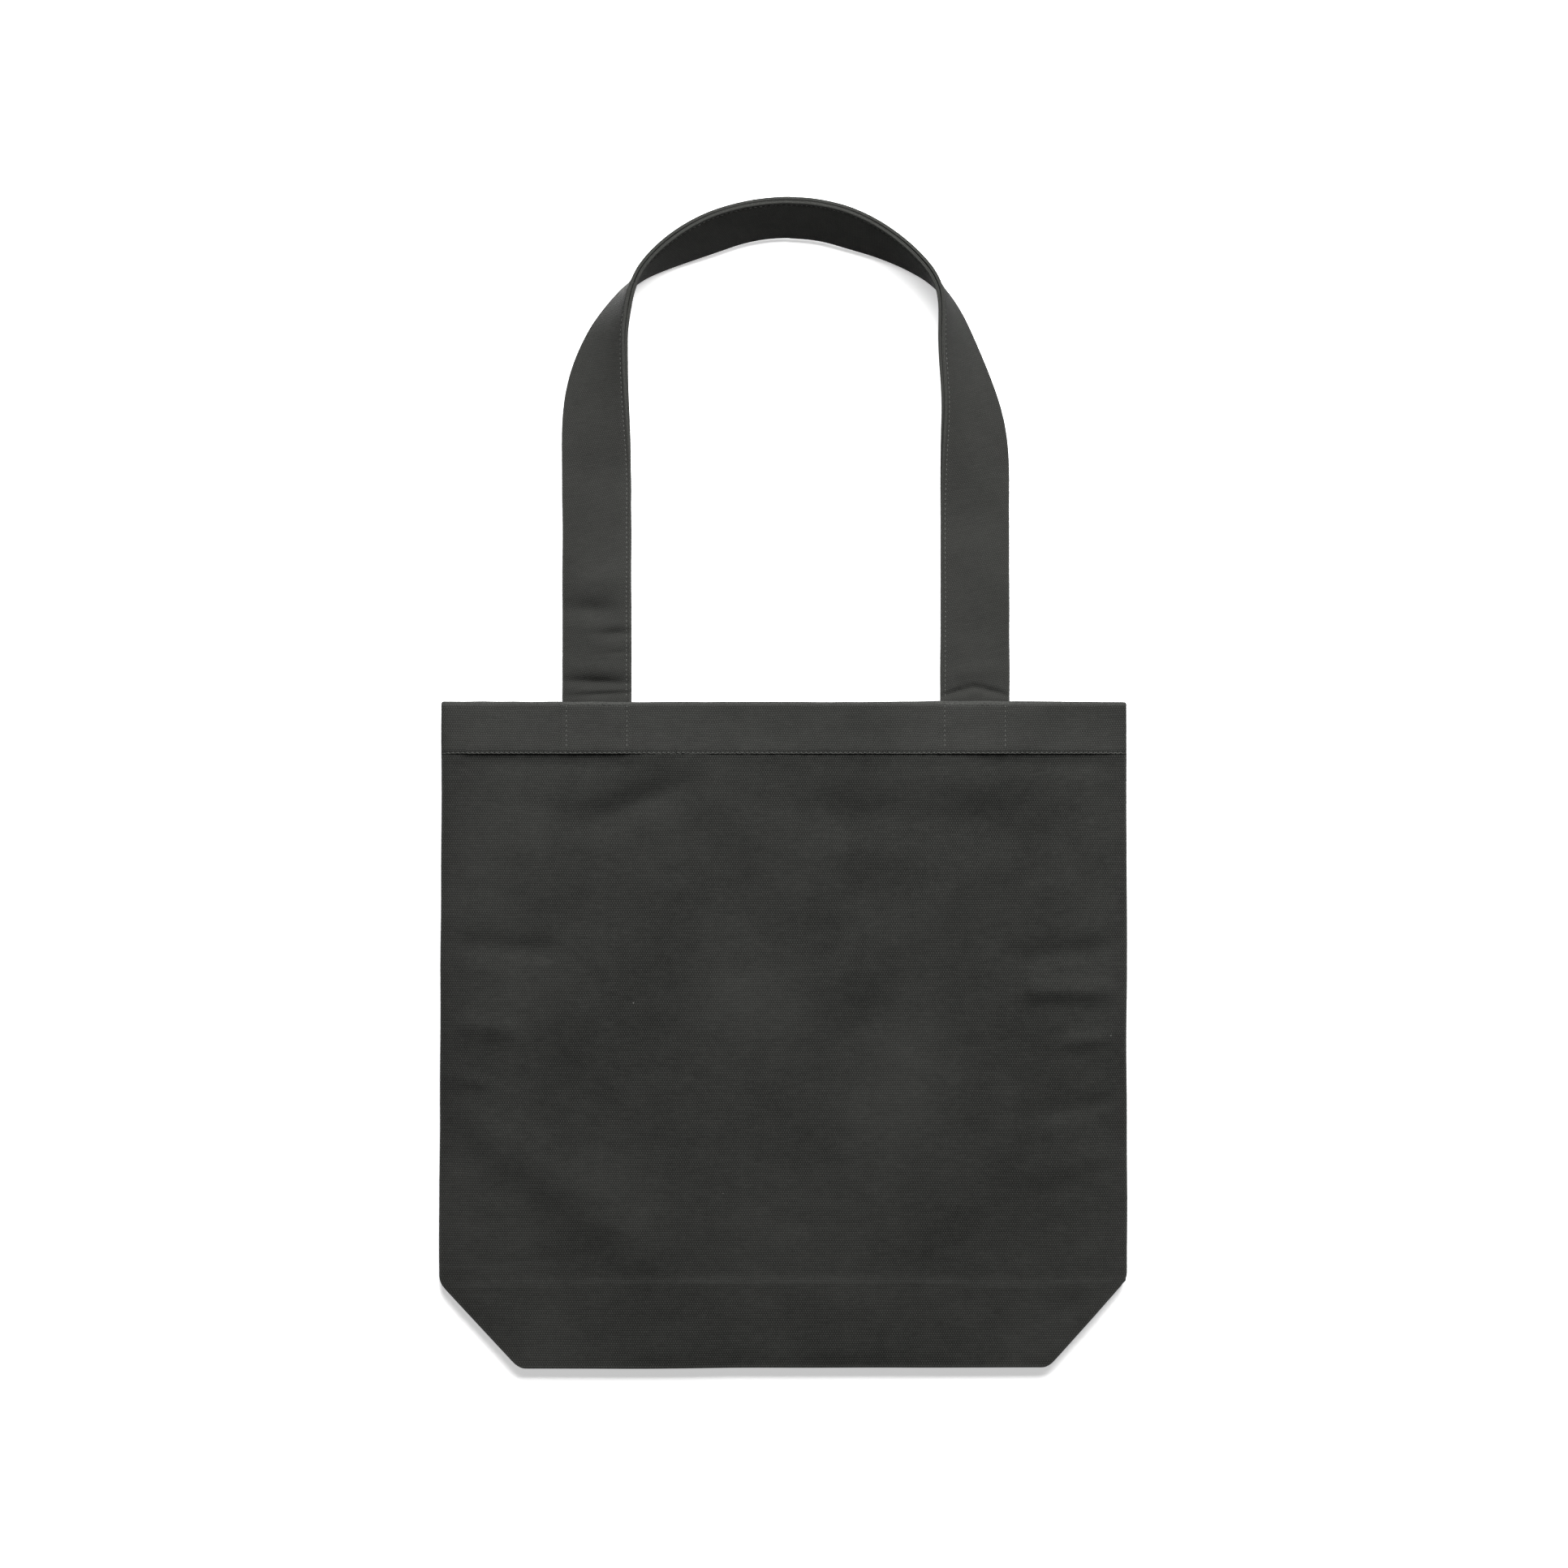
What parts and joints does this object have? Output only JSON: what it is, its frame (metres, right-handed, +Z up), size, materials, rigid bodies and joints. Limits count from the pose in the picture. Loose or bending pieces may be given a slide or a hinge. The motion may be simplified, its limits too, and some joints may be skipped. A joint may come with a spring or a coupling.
{
  "type": "canvas tote bag",
  "caption": "Flat dark canvas tote bag with turned hem, boxed base tucked up inside and twisted strap handles, hanging by its handles.",
  "frame": {"origin": "the middle of the underside of the handles' arch, where a hand or a hook carries the bag", "axes": "+Z up the hanging bag, +X along its width, the front faces -Y"},
  "size_m": [0.42, 0.0424, 0.7166],
  "materials": {
    "bag_canvas": "plain-weave cotton canvas, charcoal, matt",
    "inside_canvas": "the same canvas inside the bag, with overlocked seam edges",
    "strap_canvas": "the same canvas folded into a flat strap",
    "sewing_thread": "slightly lighter polyester thread"
  },
  "bodies": {
    "bag_back": {"back_panel": "bag_canvas", "back_hem": "bag_canvas", "back_hem_stitching": "sewing_thread", "rear_handle_left_end": "strap_canvas", "rear_handle_left_anchor_stitching": "sewing_thread", "rear_handle_right_end": "strap_canvas", "rear_handle_right_anchor_stitching": "sewing_thread", "base_panel": "inside_canvas", "left_corner_gusset": "bag_canvas", "left_side_seam": "inside_canvas", "left_corner_seam": "inside_canvas", "right_corner_gusset": "bag_canvas", "right_side_seam": "inside_canvas", "right_corner_seam": "inside_canvas"},
    "bag_front": {"front_panel": "bag_canvas", "front_hem": "bag_canvas", "front_hem_stitching": "sewing_thread", "front_handle_left_end": "strap_canvas", "front_handle_left_anchor_stitching": "sewing_thread", "front_handle_right_end": "strap_canvas", "front_handle_right_anchor_stitching": "sewing_thread"},
    "front_handle": {"front_handle": "strap_canvas", "front_handle_stitching": "sewing_thread"},
    "rear_handle": {"rear_handle": "strap_canvas", "rear_handle_stitching": "sewing_thread"}
  },
  "joints": [
    {"name": "mouth_open", "type": "hinge", "parent": "bag_back", "child": "bag_front", "pos_m": [0, -0.0096, -0.69227], "axis": [1, 0, 0], "range_deg": [0, 5], "deforming": ["front_handle"]},
    {"name": "front_handle_fold", "type": "hinge", "parent": "bag_front", "child": "front_handle", "pos_m": [0, -0.01005, -0.28377], "axis": [1, 0, 0], "range_deg": [0, 160]},
    {"name": "rear_handle_fold", "type": "hinge", "parent": "bag_back", "child": "rear_handle", "pos_m": [0, 0.01005, -0.28377], "axis": [-1, 0, 0], "range_deg": [0, 160]}
  ]
}
